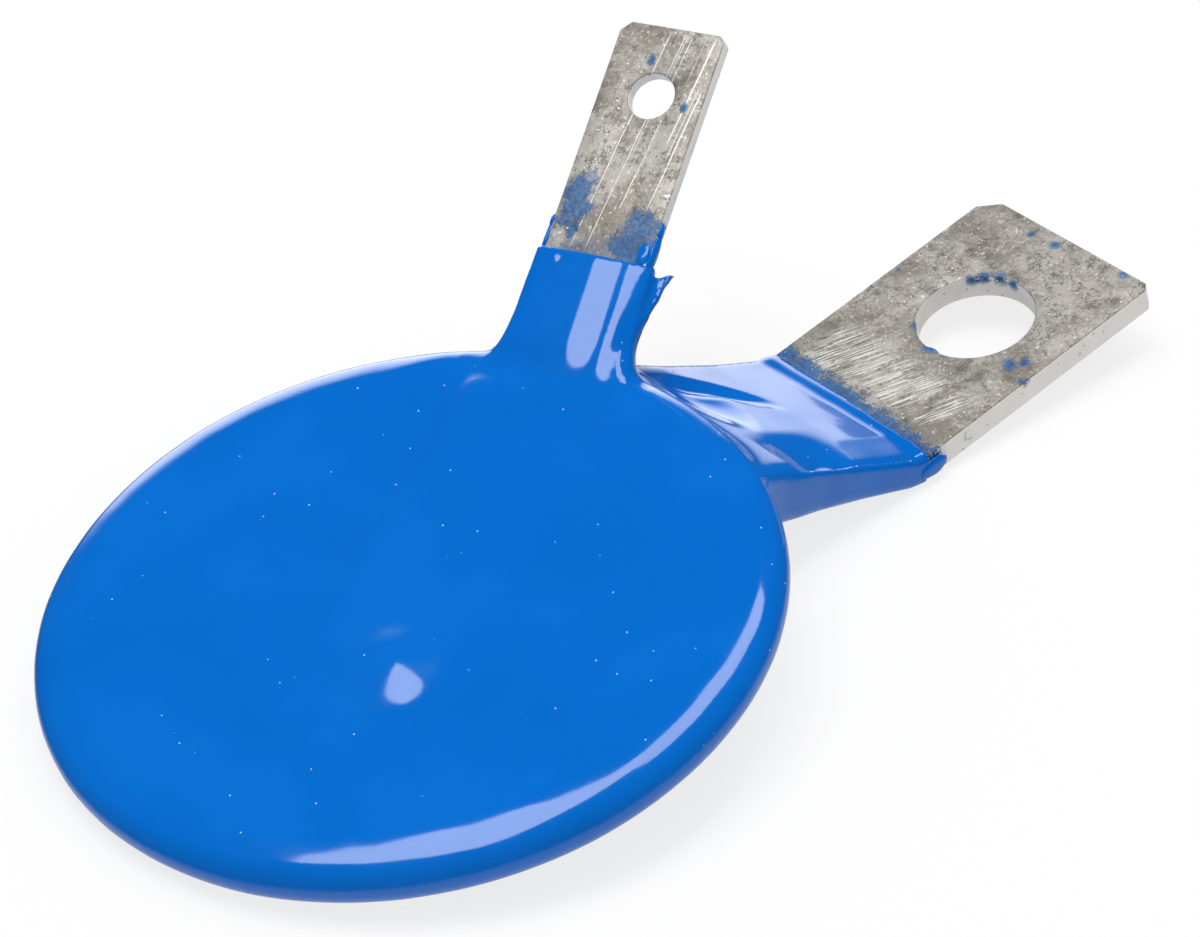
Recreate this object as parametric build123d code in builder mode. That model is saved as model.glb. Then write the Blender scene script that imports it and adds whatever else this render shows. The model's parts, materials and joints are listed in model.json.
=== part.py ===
# Disc varistor with two bolt-on strap terminals, in millimetres.
#
# A metal oxide ceramic disc carries a sprayed electrode on each face. A tinned
# copper strap is soldered to each electrode, and the whole is dipped in epoxy.
# The thick, wide strap leaves the underside, steps down and ends in a flat tab
# with a bolt hole, which holds the varistor. The thin, narrow strap leaves the
# top and rises at an angle.
#
# The frame: the origin is the centre of the wide terminal's bolt hole on its
# seating (under) face, +Z is the axis of the disc, and +X points from the disc
# outwards along the wide terminal.

import os
from math import atan2, cos, degrees, hypot, radians, sin, tan

from build123d import *

# Ceramic disc, with one electrode on each face
ceramic_diameter = 60.0
ceramic_thickness = 2.4
ceramic_edge_break = 0.3
electrode_margin = 1.5
electrode_thickness = 0.1

# Solder between an electrode and its strap
solder_thickness = 0.15
solder_margin = 1.0
solder_climb = 0.35
solder_slope = 45.0
solder_corner = 1.2

# Wide terminal
wide_width = 20.2
wide_thickness = 2.3
wide_bend_radius = 1.6
wide_inner_reach = 8.0
wide_leave_reach = 29.4
wide_land_reach = 46.9
wide_drop = 9.95
wide_tab_length = 27.6
wide_hole_diameter = 10.5
wide_hole_to_end = 12.1
wide_hole_offset = -0.5
wide_left_chamfer = 1.7
wide_right_chamfer = 0.7
wide_inner_corner = 1.5

# Narrow terminal
narrow_width = 9.9
narrow_thickness = 1.3
narrow_bend_radius = 1.5
narrow_inner_reach = 6.5
narrow_leave_reach = 28.9
narrow_rise_angle = 25.3
narrow_leg_length = 31.7
narrow_hole_diameter = 4.2
narrow_hole_to_end = 6.5
narrow_azimuth = 22.1
narrow_left_chamfer = 0.9
narrow_right_chamfer = 0.6
narrow_inner_corner = 1.0

# Epoxy coat
coat_rim = 1.5
rim_roll = 3.1
rim_turn = 45.0
coat_face = 1.38
coat_over_strap = 0.6
ridge_slope_width = 4.2
ridge_sink = 0.1
ridge_side_cover = 0.4
sleeve_cover = 0.45
sleeve_corner = 0.75
sleeve_foot_growth = 0.8
flare_steps = 5
flare_side_power = 3
flare_swell_power = 1.5
narrow_coat_length = 9.97
narrow_flare_start = 4.0
narrow_flare_left = 2.0
narrow_flare_right = 4.2
narrow_flare_above = 0.8
narrow_flare_below = 1.9
narrow_sag = 0.3
wide_coat_lap = 0.9
wide_flare_start = 3.0
wide_flare_side = 2.4
wide_flare_above = 2.0
wide_flare_below = 0.6
wide_sag = 1.0

# Torn web of coat at the right edge of the narrow strap
web_foot = -1.5
web_foot_spread = 1.5
web_neck = 2.6
web_neck_spread = 1.0
web_tip = 9.6
web_tip_spread = 2.0
web_tear_depth = 0.9
web_thickness = 1.1
web_depth = 0.8

# Heights above and below the disc's mid-plane
electrode_face = ceramic_thickness / 2 + electrode_thickness
strap_face = electrode_face + solder_thickness
coat_half = electrode_face + coat_face
disc_radius = ceramic_diameter / 2 + coat_rim
narrow_top = strap_face + narrow_thickness
wide_seat = -(strap_face + wide_drop + wide_thickness)

# Places in the part's own frame
bolt_reach = wide_land_reach + wide_tab_length - wide_hole_to_end
disc_centre = (-bolt_reach, -wide_hole_offset, -wide_seat)
disc_mid = Plane(origin=disc_centre)


def side_plane(azimuth):
    """Upright plane through the disc's axis: local x runs outwards, local y up."""
    turn = radians(azimuth)
    outwards = (cos(turn), sin(turn), 0)
    sideways = (sin(turn), -cos(turn), 0)
    return Plane(origin=disc_centre, x_dir=outwards, z_dir=sideways)


def across_plane(side, reach, height, angle):
    """Plane across a strap, facing outwards: local x runs sideways, local y away from its under face."""
    tilt = radians(angle)
    outwards = side.x_dir * cos(tilt) + side.y_dir * sin(tilt)
    point = side.from_local_coords((reach, height, 0))
    return Plane(origin=point, x_dir=-side.z_dir, z_dir=outwards)


wide_side = side_plane(0)
narrow_side = side_plane(narrow_azimuth)

# Ceramic disc
with BuildPart() as ceramic_disc:
    with BuildSketch(disc_mid.offset(-ceramic_thickness / 2)):
        Circle(ceramic_diameter / 2)
    extrude(amount=ceramic_thickness)
    chamfer(ceramic_disc.edges(), length=ceramic_edge_break)

# Electrodes
electrode_radius = ceramic_diameter / 2 - electrode_margin
with BuildPart() as top_electrode:
    with BuildSketch(disc_mid.offset(ceramic_thickness / 2)):
        Circle(electrode_radius)
    extrude(amount=electrode_thickness)

with BuildPart() as bottom_electrode:
    with BuildSketch(disc_mid.offset(-ceramic_thickness / 2)):
        Circle(electrode_radius)
    extrude(amount=-electrode_thickness)

# Wide terminal: a strap with two bends, drawn as the line of its top face
wide_top_line = [
    (-wide_inner_reach, -strap_face),
    (wide_leave_reach, -strap_face),
    (wide_land_reach, -strap_face - wide_drop),
    (wide_land_reach + wide_tab_length, -strap_face - wide_drop),
]
with BuildPart() as wide_terminal:
    with BuildSketch(wide_side):
        with BuildLine():
            wide_line = FilletPolyline(
                *wide_top_line, radius=[wide_bend_radius + wide_thickness, wide_bend_radius]
            )
            offset(wide_line, amount=wide_thickness, side=Side.RIGHT)
        make_face()
    extrude(amount=wide_width / 2, both=True)
    with BuildSketch(Plane.XY):
        with Locations((0, 0)):
            Circle(wide_hole_diameter / 2)
    extrude(amount=wide_thickness, mode=Mode.SUBTRACT)
    tab_end = wide_terminal.edges().filter_by(Axis.Z).group_by(Axis.X)[-1].sort_by(Axis.Y)
    chamfer(tab_end[-1], length=wide_left_chamfer)
    tab_end = wide_terminal.edges().filter_by(Axis.Z).group_by(Axis.X)[-1].sort_by(Axis.Y)
    chamfer(tab_end[0], length=wide_right_chamfer)
    fillet(wide_terminal.edges().filter_by(Axis.Z).group_by(Axis.X)[0], radius=wide_inner_corner)

# Narrow terminal: one bend, drawn as the line of its top face
rise = radians(narrow_rise_angle)
narrow_tip = (
    narrow_leave_reach + narrow_leg_length * cos(rise),
    narrow_top + narrow_leg_length * sin(rise),
)
narrow_leg = across_plane(narrow_side, narrow_leave_reach, narrow_top, narrow_rise_angle)
narrow_face = Plane(origin=narrow_leg.origin, x_dir=narrow_leg.z_dir, z_dir=narrow_leg.y_dir)
narrow_hole_reach = narrow_leg_length - narrow_hole_to_end
with BuildPart() as narrow_terminal:
    with BuildSketch(narrow_side):
        with BuildLine():
            narrow_line = FilletPolyline(
                (-narrow_inner_reach, narrow_top),
                (narrow_leave_reach, narrow_top),
                narrow_tip,
                radius=narrow_bend_radius,
            )
            offset(narrow_line, amount=narrow_thickness, side=Side.RIGHT)
        make_face()
    extrude(amount=narrow_width / 2, both=True)
    with BuildSketch(narrow_face):
        with Locations((narrow_hole_reach, 0)):
            Circle(narrow_hole_diameter / 2)
    extrude(amount=-narrow_thickness, mode=Mode.SUBTRACT)
    along_leg = Axis(narrow_face.origin, narrow_face.x_dir)
    across_leg = Axis(narrow_face.origin, narrow_face.y_dir)
    through_leg = Axis(narrow_face.origin, narrow_face.z_dir)
    tip = narrow_terminal.edges().filter_by(through_leg).sort_by(along_leg)[-2:].sort_by(across_leg)
    chamfer(tip[-1], length=narrow_left_chamfer)
    tip = narrow_terminal.edges().filter_by(through_leg).sort_by(along_leg)[-3:].sort_by(across_leg)
    chamfer(tip[0], length=narrow_right_chamfer)
    upright = narrow_terminal.edges().filter_by(Axis.Z)
    inner_corners = upright.sort_by(Axis(disc_centre, narrow_side.x_dir))[:2]
    fillet(inner_corners, radius=narrow_inner_corner)


def solder_pool(face, side_up, azimuth, inner_reach, outer_reach, width):
    """Sketch plane and outline of a solder pool, as plane, centre, length and width."""
    turn = radians(azimuth)
    base = disc_mid.offset(face)
    plane = Plane(origin=base.origin, x_dir=(cos(turn), sin(turn), 0), z_dir=(0, 0, side_up))
    length = inner_reach + outer_reach + solder_margin
    centre = (outer_reach - inner_reach - solder_margin) / 2
    return plane, centre, length, width + 2 * solder_margin


solder_outer_reach = electrode_radius - solder_margin
narrow_pool, narrow_pool_centre, narrow_pool_length, narrow_pool_width = solder_pool(
    electrode_face, 1, narrow_azimuth, narrow_inner_reach, solder_outer_reach - solder_margin, narrow_width
)
with BuildPart() as top_solder:
    with BuildSketch(narrow_pool):
        with Locations((narrow_pool_centre, 0)):
            RectangleRounded(narrow_pool_length, narrow_pool_width, solder_corner)
    extrude(amount=solder_thickness + solder_climb, taper=solder_slope)
    add(narrow_terminal.part, mode=Mode.SUBTRACT)

wide_pool, wide_pool_centre, wide_pool_length, wide_pool_width = solder_pool(
    -electrode_face, -1, 0, wide_inner_reach, solder_outer_reach - 2 * solder_margin, wide_width
)
with BuildPart() as bottom_solder:
    with BuildSketch(wide_pool):
        with Locations((wide_pool_centre, 0)):
            RectangleRounded(wide_pool_length, wide_pool_width, solder_corner)
    extrude(amount=solder_thickness + solder_climb, taper=solder_slope)
    add(wide_terminal.part, mode=Mode.SUBTRACT)


# Epoxy coat, one piece: a disc whose faces roll over at the rim in two tangent
# arcs, a low ridge over each strap, and a flared sleeve where each strap leaves it
rim_ring = disc_radius - rim_roll
roll_sin = sin(radians(rim_turn))
roll_cos = cos(radians(rim_turn))
roll_change = (rim_roll - coat_half) / (roll_sin + roll_cos - 1)
roll_radius = rim_roll + roll_change * (1 - roll_sin)
roll_joint = (rim_ring + roll_radius * roll_sin, coat_half - roll_radius * (1 - roll_cos))


def ridge_slope(run, height):
    """Points of an S-shaped slope that falls from a ridge's top to just under the disc's coat."""
    pull = ridge_slope_width / 2
    foot = (run + ridge_slope_width, -ridge_sink)
    shoulder = (run, height)
    return foot, (foot[0] - pull, -ridge_sink), (shoulder[0] + pull, height), shoulder


def ridge(azimuth, up, half_width, height, inner_reach):
    """Ridge over a strap: its cross section run outwards, with a slope at its inner end and its rim."""
    turn = radians(azimuth)
    outwards = Vector(cos(turn), sin(turn), 0)
    upwards = Vector(0, 0, up)
    centre = Vector(*disc_centre) + upwards * coat_half
    across = Plane(origin=centre, x_dir=upwards.cross(outwards), z_dir=outwards)
    along = Plane(origin=centre, x_dir=-outwards, z_dir=-outwards.cross(upwards))
    side_slope = ridge_slope(half_width, height)
    end_slope = ridge_slope(inner_reach, height)
    rim_slope = ridge_slope(rim_ring - ridge_slope_width, height)
    foot = side_slope[0]
    end_foot = end_slope[0]
    rim_foot = rim_slope[0]
    with BuildPart() as body:
        with BuildSketch(across.offset(-end_foot[0])):
            with BuildLine():
                Bezier(*side_slope)
                Line(side_slope[-1], (0, height))
                Line((0, height), (0, -coat_half))
                Line((0, -coat_half), (foot[0], -coat_half))
                Line((foot[0], -coat_half), foot)
            make_face()
            mirror(about=Plane.YZ)
        extrude(amount=end_foot[0] + disc_radius)
        with BuildSketch(along):
            with BuildLine():
                Bezier(*end_slope)
                Line(end_slope[-1], (-disc_radius, height))
                Line((-disc_radius, height), (-disc_radius, -coat_half))
                Line((-disc_radius, -coat_half), (end_foot[0], -coat_half))
                Line((end_foot[0], -coat_half), end_foot)
            make_face()
        extrude(amount=disc_radius, both=True, mode=Mode.INTERSECT)
        with BuildSketch(Plane(origin=centre, x_dir=(1, 0, 0), z_dir=(0, -up, 0))):
            with BuildLine():
                Bezier(*rim_slope)
                Line(rim_slope[-1], (0, height))
                Line((0, height), (0, -coat_half))
                Line((0, -coat_half), (rim_foot[0], -coat_half))
                Line((rim_foot[0], -coat_half), rim_foot)
            make_face()
        revolve(axis=Axis(disc_centre, (0, 0, 1)), mode=Mode.INTERSECT)
    return body.part


narrow_ridge_height = narrow_top + coat_over_strap - coat_half
wide_ridge_height = strap_face + wide_thickness + coat_over_strap - coat_half
narrow_ridge_half = narrow_width / 2 - ridge_side_cover
wide_ridge_half = wide_width / 2 - ridge_side_cover
top_ridge = ridge(narrow_azimuth, 1, narrow_ridge_half, narrow_ridge_height, narrow_inner_reach)
bottom_ridge = ridge(0, -1, wide_ridge_half, wide_ridge_height, wide_inner_reach)


def flare_sections(leave, angle, start, end):
    """Places down a strap's slope, as reach, height, angle and how far the flare has grown there."""
    slope = radians(angle)
    places = []
    for step in range(flare_steps):
        part_way = step / (flare_steps - 1)
        along = start + (end - start) * part_way
        reach = leave[0] + along * cos(slope)
        height = leave[1] + along * sin(slope)
        places.append((reach, height, angle, 1 - part_way))
    return places


def sleeve(side, strap, places, flare):
    """Coat round a strap where it leaves the disc: sections across the strap, widest at the disc."""
    width, thickness = strap
    left, right, above, below, sag = flare
    with BuildPart() as body:
        for reach, height, angle, nearness in places:
            spread = nearness**flare_side_power
            swell = nearness**flare_swell_power
            section_width = width + 2 * sleeve_cover + (left + right) * spread
            hang = sag * nearness + below * swell
            section_height = thickness + 2 * sleeve_cover + above * swell + hang
            shift = (left - right) * spread / 2
            mid_height = (above * swell - thickness - hang) / 2
            corner = sleeve_corner + sleeve_foot_growth * swell
            with BuildSketch(across_plane(side, reach, height, angle)):
                with Locations((shift, mid_height)):
                    RectangleRounded(section_width, section_height, corner)
        loft(ruled=True)
    return body.part


narrow_places = flare_sections(
    (narrow_leave_reach, narrow_top), narrow_rise_angle, -narrow_flare_start, narrow_coat_length
)
narrow_sleeve = sleeve(
    narrow_side,
    (narrow_width, narrow_thickness),
    narrow_places,
    (narrow_flare_left, narrow_flare_right, narrow_flare_above, narrow_flare_below, narrow_sag),
)

wide_run = wide_land_reach - wide_leave_reach
wide_slope_angle = -degrees(atan2(wide_drop, wide_run))
wide_bend_tangent = wide_bend_radius * tan(radians(-wide_slope_angle) / 2)
wide_places = flare_sections(
    (wide_leave_reach, -strap_face),
    wide_slope_angle,
    -wide_flare_start,
    hypot(wide_run, wide_drop) - 2 * wide_bend_tangent,
)
wide_places.append((wide_land_reach + wide_coat_lap, -strap_face - wide_drop, wide_slope_angle / 2, 0))
wide_sleeve = sleeve(
    wide_side,
    (wide_width, wide_thickness),
    wide_places,
    (wide_flare_side, wide_flare_side, wide_flare_above, wide_flare_below, wide_sag),
)

# Torn web of coat: an outline on the narrow strap's leg, from its foot to the tear
web_root = -narrow_width / 2
web_outer_foot = (web_foot, web_root - web_foot_spread)
web_outer_neck = (web_neck, web_root - web_neck_spread)
web_outer_tip = (web_tip, web_root - web_tip_spread)
web_tear = (web_tip - web_tear_depth, web_root - web_neck_spread)
web_inner_tip = (web_tip, web_root + web_tear_depth)
web_inner_foot = (web_foot, web_root + web_tear_depth)
with BuildPart() as torn_web:
    with BuildSketch(narrow_face.offset(-web_depth)):
        with BuildLine():
            Spline(web_outer_foot, web_outer_neck, web_outer_tip)
            Polyline(web_outer_tip, web_tear, web_inner_tip, web_inner_foot, web_outer_foot)
        make_face()
    extrude(amount=-web_thickness)

with BuildPart() as epoxy_coating:
    with BuildSketch(wide_side):
        with BuildLine():
            Line((0, 0), (0, coat_half))
            Line((0, coat_half), (rim_ring, coat_half))
            TangentArc((rim_ring, coat_half), roll_joint, tangent=(1, 0))
            TangentArc(roll_joint, (disc_radius, 0), tangent=(roll_cos, -roll_sin))
            Line((disc_radius, 0), (0, 0))
        make_face()
        mirror(about=Plane.XZ)
    revolve(axis=Axis(disc_centre, (0, 0, 1)))
    add(top_ridge)
    add(bottom_ridge)
    add(narrow_sleeve)
    add(torn_web.part)
    add(wide_sleeve)
    for inner in (ceramic_disc, top_electrode, bottom_electrode, top_solder, bottom_solder):
        add(inner.part, mode=Mode.SUBTRACT)
    add(wide_terminal.part, mode=Mode.SUBTRACT)
    add(narrow_terminal.part, mode=Mode.SUBTRACT)

os.makedirs("parts", exist_ok=True)
ceramic_disc.part.label = "ceramic_disc"
export_step(ceramic_disc.part, "parts/ceramic_disc.step")
top_electrode.part.label = "top_electrode"
export_step(top_electrode.part, "parts/top_electrode.step")
bottom_electrode.part.label = "bottom_electrode"
export_step(bottom_electrode.part, "parts/bottom_electrode.step")
top_solder.part.label = "top_solder"
export_step(top_solder.part, "parts/top_solder.step")
bottom_solder.part.label = "bottom_solder"
export_step(bottom_solder.part, "parts/bottom_solder.step")
wide_terminal.part.label = "wide_terminal"
export_step(wide_terminal.part, "parts/wide_terminal.step")
narrow_terminal.part.label = "narrow_terminal"
export_step(narrow_terminal.part, "parts/narrow_terminal.step")
epoxy_coating.part.label = "epoxy_coating"
export_step(epoxy_coating.part, "parts/epoxy_coating.step")
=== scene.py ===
# %% [markdown]
# # A dipped disc varistor with two strap terminals
#
# A varistor like this one is a round slice of ceramic with a metal film on each
# face. A copper strap is soldered to each film, the straps are tinned, and the
# lot is dipped in blue epoxy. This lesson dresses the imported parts: the coat
# is made to flow, the straps get worn edges, and each finish is built from
# nodes. Sizes are in metres where nothing else is said, in the frame of the
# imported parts: the origin is the big bolt hole, +X runs out along the wide
# strap and +Z is up.

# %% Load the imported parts
import json
import math

import bmesh
import bpy
from mathutils import Matrix, Vector, noise
from mathutils.bvhtree import BVHTree


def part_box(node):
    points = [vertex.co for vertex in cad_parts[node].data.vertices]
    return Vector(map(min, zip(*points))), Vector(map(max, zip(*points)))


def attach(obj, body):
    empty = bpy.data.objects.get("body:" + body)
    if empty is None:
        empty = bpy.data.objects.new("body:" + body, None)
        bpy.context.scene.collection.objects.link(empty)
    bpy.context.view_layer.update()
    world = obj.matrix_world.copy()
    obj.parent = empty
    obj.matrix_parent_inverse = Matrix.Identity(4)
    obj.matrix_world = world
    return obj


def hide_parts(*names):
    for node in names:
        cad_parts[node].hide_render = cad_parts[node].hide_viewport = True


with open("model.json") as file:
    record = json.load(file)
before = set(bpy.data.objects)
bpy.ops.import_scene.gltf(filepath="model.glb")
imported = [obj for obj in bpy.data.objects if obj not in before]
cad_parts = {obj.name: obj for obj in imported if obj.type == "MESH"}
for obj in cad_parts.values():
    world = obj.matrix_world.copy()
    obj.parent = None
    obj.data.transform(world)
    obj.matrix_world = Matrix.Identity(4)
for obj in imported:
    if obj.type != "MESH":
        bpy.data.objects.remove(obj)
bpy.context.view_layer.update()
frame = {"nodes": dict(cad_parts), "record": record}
nodes = frame["nodes"]
mounts = {mount["name"]: mount for mount in frame["record"]["mounts"]}
print("parts:", sorted(nodes))

# %% [markdown]
# ## Places that the rest hangs from
#
# Every later size is counted from the disc and the two straps. Their places
# could be typed in, but then they would go wrong when the part changes, so they
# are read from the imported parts. The ceramic's box gives the disc's centre. The
# narrow strap rises at an angle, so it needs its own directions: out of its
# face, which is the screw hole's axis, to its left, along it, and the way that
# it runs when seen from above.

# %% Directions and centres
mm = 0.001
low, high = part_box("ceramic_disc")
disc_centre = (low + high) / 2
disc_radius = (high.x - low.x) / 2
up = Vector((0, 0, 1))
wide_along = Vector((1, 0, 0))
wide_left = Vector((0, 1, 0))
wide_thickness = mounts["bolt_hole"]["dims"]["length_mm"] * mm
narrow_hole = Vector(mounts["narrow_hole"]["pos_m"])
narrow_out = Vector(mounts["narrow_hole"]["axis"]).normalized()
narrow_left = narrow_out.cross(up).normalized()
narrow_along = narrow_left.cross(narrow_out)
narrow_flat = narrow_left.cross(up)
print("disc centre", tuple(round(v, 4) for v in disc_centre), "radius", round(disc_radius, 4))
print("narrow strap runs", tuple(round(v, 3) for v in narrow_along))

# %% [markdown]
# ## The coat as one lump
#
# Epoxy is a thick liquid when the part is dipped, so it fills every corner and
# flows from the disc up the straps with no crisp joint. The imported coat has
# crisp joints, where one form meets the next. It could be bevelled joint by
# joint, but liquid doesn't follow edges. Instead the coat and all that it holds
# are swollen a little and turned into one skin of small even squares by a voxel
# remesh. That skin is then easy to relax where liquid would have pulled it round.

# %% Join the coat and what it holds, and remesh it
voxel = 0.33 * mm
swell = 0.1 * mm
join_reach = 0.002 * mm


def merged_copy(name):
    """The node's mesh in a new bmesh, with its loose triangles joined up."""
    copy = bmesh.new()
    copy.from_mesh(nodes[name].data)
    bmesh.ops.remove_doubles(copy, verts=copy.verts, dist=join_reach)
    return copy


def piece_from(work, name):
    """A new object at the origin that holds the bmesh."""
    mesh = bpy.data.meshes.new(name)
    work.to_mesh(mesh)
    work.free()
    piece = bpy.data.objects.new(name, mesh)
    bpy.context.scene.collection.objects.link(piece)
    return piece


def apply_modifiers(piece):
    """Turns what the piece's modifiers show into its own mesh."""
    graph = bpy.context.evaluated_depsgraph_get()
    baked = bpy.data.meshes.new_from_object(piece.evaluated_get(graph))
    piece.modifiers.clear()
    piece.data = baked


lump = merged_copy("epoxy_coating")
for name in sorted(nodes):
    if name == "epoxy_coating":
        continue
    held = merged_copy(name)
    bmesh.ops.recalc_face_normals(held, faces=held.faces)
    for vert in held.verts:
        vert.co += vert.normal * swell
    swollen = bpy.data.meshes.new(name)
    held.to_mesh(swollen)
    held.free()
    lump.from_mesh(swollen)
    bpy.data.meshes.remove(swollen)

coat = piece_from(lump, "dipped_coat")
remesh = coat.modifiers.new("even_squares", "REMESH")
remesh.mode = "VOXEL"
remesh.voxel_size = voxel
apply_modifiers(coat)
print("lump:", len(coat.data.polygons), "faces")

# %% [markdown]
# ## Where the coat ends
#
# Tape or a mask keeps the epoxy off the straps' ends, so the coat stops at a
# line across each strap. The lump still covers both straps to their tips. A
# boolean with a box would cut it, but a cutting plane does the same in one step
# and leaves a clean rim. The line on the wide strap is a little askew, because
# the mask was. The edges and points go to the cut in the faces' order, so that
# each run cuts the same.

# %% Trim the lump at the two coat lines
narrow_coat_line = 15.25 * mm
wide_coat_line = 14.65 * mm
wide_line_skew = 0.063
wide_line_lean = 0.26
necks_split_height = 12 * mm
wide_neck_start = -30 * mm


def trim(work, picked, point, outwards):
    """Cuts off what lies beyond the plane, among the faces that are picked, and closes the cut."""
    faces = [face for face in work.faces if picked(face.calc_center_median())]
    edges = dict.fromkeys(edge for face in faces for edge in face.edges)
    verts = dict.fromkeys(vert for face in faces for vert in face.verts)
    bmesh.ops.bisect_plane(
        work, geom=[*verts, *edges, *faces], plane_co=point, plane_no=outwards, clear_outer=True
    )
    rim = [edge for edge in work.edges if edge.is_boundary]
    bmesh.ops.holes_fill(work, edges=rim, sides=0)
    return len(rim)


narrow_line = narrow_hole - narrow_along * narrow_coat_line
wide_line = up * wide_thickness - wide_along * wide_coat_line
wide_line_across = Vector((wide_line_skew, 1, 0))
wide_line_up = Vector((wide_line_lean, 0, 1))
wide_line_out = wide_line_across.cross(wide_line_up).normalized()

work = bmesh.new()
work.from_mesh(coat.data)
narrow_rim = trim(work, lambda spot: spot.z > necks_split_height, narrow_line, narrow_along)
wide_rim = trim(
    work, lambda spot: spot.z < necks_split_height and spot.x > wide_neck_start, wide_line, wide_line_out
)
work.to_mesh(coat.data)
work.free()
print("trimmed rims:", narrow_rim, "and", wide_rim, "edges;", len(coat.data.polygons), "faces left")

# %% [markdown]
# ## The disc's top
#
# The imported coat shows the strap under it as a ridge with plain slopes. Resin
# leaves a low mound instead, steepest at the strap's inner end, with a drop
# that ran together beside it. Brushing this by hand would leave ripples in the
# gloss, so each point of the top goes straight to the height that a short
# formula gives.

# %% The height of the mound
mound_end = -7.4 * mm
mound_top = 6 * mm
mound_half = 3.2 * mm
mound_slope = 5.6 * mm
mound_height = 0.42 * mm
mound_gain = 0.20 * mm
# Each swelling's place p and q on the face, its height and its reach, in mm
swellings = {
    "drop": (-7.8, -3.4, 0.86, 6.6),
    "glint": (12.3, -8.4, 0.07, 1.1),
    "left dip": (-2.0, 15.0, -0.05, 9),
    "back rise": (-19.0, 3.0, 0.04, 8),
}


def fade(value, start, end):
    """0 up to start, 1 from end, and a smooth slope between."""
    t = min(1, max(0, (value - start) / (end - start)))
    return t * t * (3 - 2 * t)


def mound(p, q):
    """Height of the mound, p along the narrow strap and q to its left, from the disc's centre."""
    away = math.hypot(max(mound_end - p, 0), max(abs(q) - mound_half, 0))
    ridge = mound_height + mound_gain * fade(p, mound_end, mound_top)
    height = ridge * (1 - fade(away, 0, mound_slope))
    for centre_p, centre_q, swelling, reach in swellings.values():
        away = math.hypot(p - centre_p * mm, q - centre_q * mm)
        height += swelling * mm * (1 - fade(away, 0, reach * mm))
    return height


print("mound at the disc's centre:", round(mound(0, 0) / mm, 2), "mm")

# %% [markdown]
# ## The disc's rim
#
# At the rim the resin rolls over, in an easy curve first and a tight one below.
# A bevel would give one round curve, and its highlight would be too even. Here
# the roll is two arcs that meet without a corner: each point is pushed out to
# the arc that it faces. Where a neck grows out of the disc, the points keep
# their place.

# %% The rolled rim
face_height = 2.68 * mm
rim_radius = disc_radius + 1.5 * mm
easy_radius = 8 * mm
easy_turn = math.radians(25)
joint_out = easy_radius * math.sin(easy_turn)
joint_up = face_height - easy_radius * (1 - math.cos(easy_turn))
tight_radius = joint_up / math.cos(easy_turn)
roll = joint_out + tight_radius * (1 - math.sin(easy_turn))
roll_start = rim_radius - roll


def rim_reach(angle):
    """How far the rolled rim lies from the point where the roll starts, at an angle above level."""
    if angle > math.atan2(joint_up, joint_out):
        centre, radius = Vector((0, face_height - easy_radius)), easy_radius
    else:
        centre, radius = Vector((roll - tight_radius, 0)), tight_radius
    ray = Vector((math.cos(angle), math.sin(angle)))
    return ray.dot(centre) + math.sqrt(ray.dot(centre) ** 2 - centre.length_squared + radius**2)


print("rim rolls in", round(roll / mm, 2), "mm")

# %% Set the points of the disc's top
rim_foot = 0.02 * mm
rim_slack = 0.3 * mm
top_slack = 1.2 * mm
face_foot = 1.5 * mm
mound_fade = 3 * mm
wide_neck_top = 2 * mm
# Where a neck starts and is full, going out, and is full and ends, going aside, in mm
narrow_zone = (17, 24, 9.5, 15)
wide_zone = (23, 28, 12, 16)


def neck_share(out, aside, zone):
    """1 where a neck leaves the disc, fading to 0 round it."""
    start, full, inner, outer = (edge * mm for edge in zone)
    return fade(out, start, full) * (1 - fade(abs(aside), inner, outer))


shaped = 0
for vert in coat.data.vertices:
    offset = vert.co - disc_centre
    level = Vector((offset.x, offset.y, 0))
    p, q = offset.dot(narrow_flat), offset.dot(narrow_left)
    if level.length > rim_radius + rim_slack or not rim_foot <= offset.z <= face_height + top_slack:
        continue
    if level.length > roll_start:
        angle = math.atan2(offset.z, level.length - roll_start)
        reach = rim_reach(angle)
        target = level.normalized() * (roll_start + reach * math.cos(angle)) + up * reach * math.sin(angle)
        target.z += mound(p, q) * (1 - fade(level.length, roll_start, roll_start + mound_fade))
    elif offset.z > face_foot:
        target = level + up * (face_height + mound(p, q))
    else:
        continue
    keep = neck_share(p, q, narrow_zone)
    if offset.z < wide_neck_top:
        keep = max(keep, neck_share(offset.x, offset.y, wide_zone))
    vert.co = disc_centre + target * (1 - keep) + offset * keep
    shaped += 1
print("points set:", shaped)

# %% [markdown]
# ## Let the epoxy flow
#
# Each neck grows out of the disc with a soft hollow round its foot, because
# liquid rounds off an inner corner. Sculpting could do that by hand. The Smooth
# modifier does the same evenly, and a vertex group says how much it may relax
# each point: fully at the necks' feet and not at all away from them, so that
# the disc keeps its rim. A short second pass evens out the whole skin.

# %% Relax the necks' feet
flow_rounds = 70
settle_rounds = 5
pull = 0.5
narrow_foot = disc_centre + narrow_flat * 28.5 * mm + up * 2.5 * mm
wide_foot = disc_centre + wide_along * 30 * mm - up * 3 * mm
narrow_foot_size = (9 * mm, 13 * mm, 6 * mm)
wide_foot_size = (6.5 * mm, 17 * mm, 7 * mm)
foot_core = 0.45


def near_foot(spot, foot, forwards, size):
    """1 at a neck's foot, fading to 0 at an egg-shaped border round it."""
    offset = spot - foot
    sides = (offset.dot(forwards), offset.dot(up.cross(forwards)), offset.z)
    away = Vector([side / reach for side, reach in zip(sides, size)])
    return 1 - fade(away.length, foot_core, 1)


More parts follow.
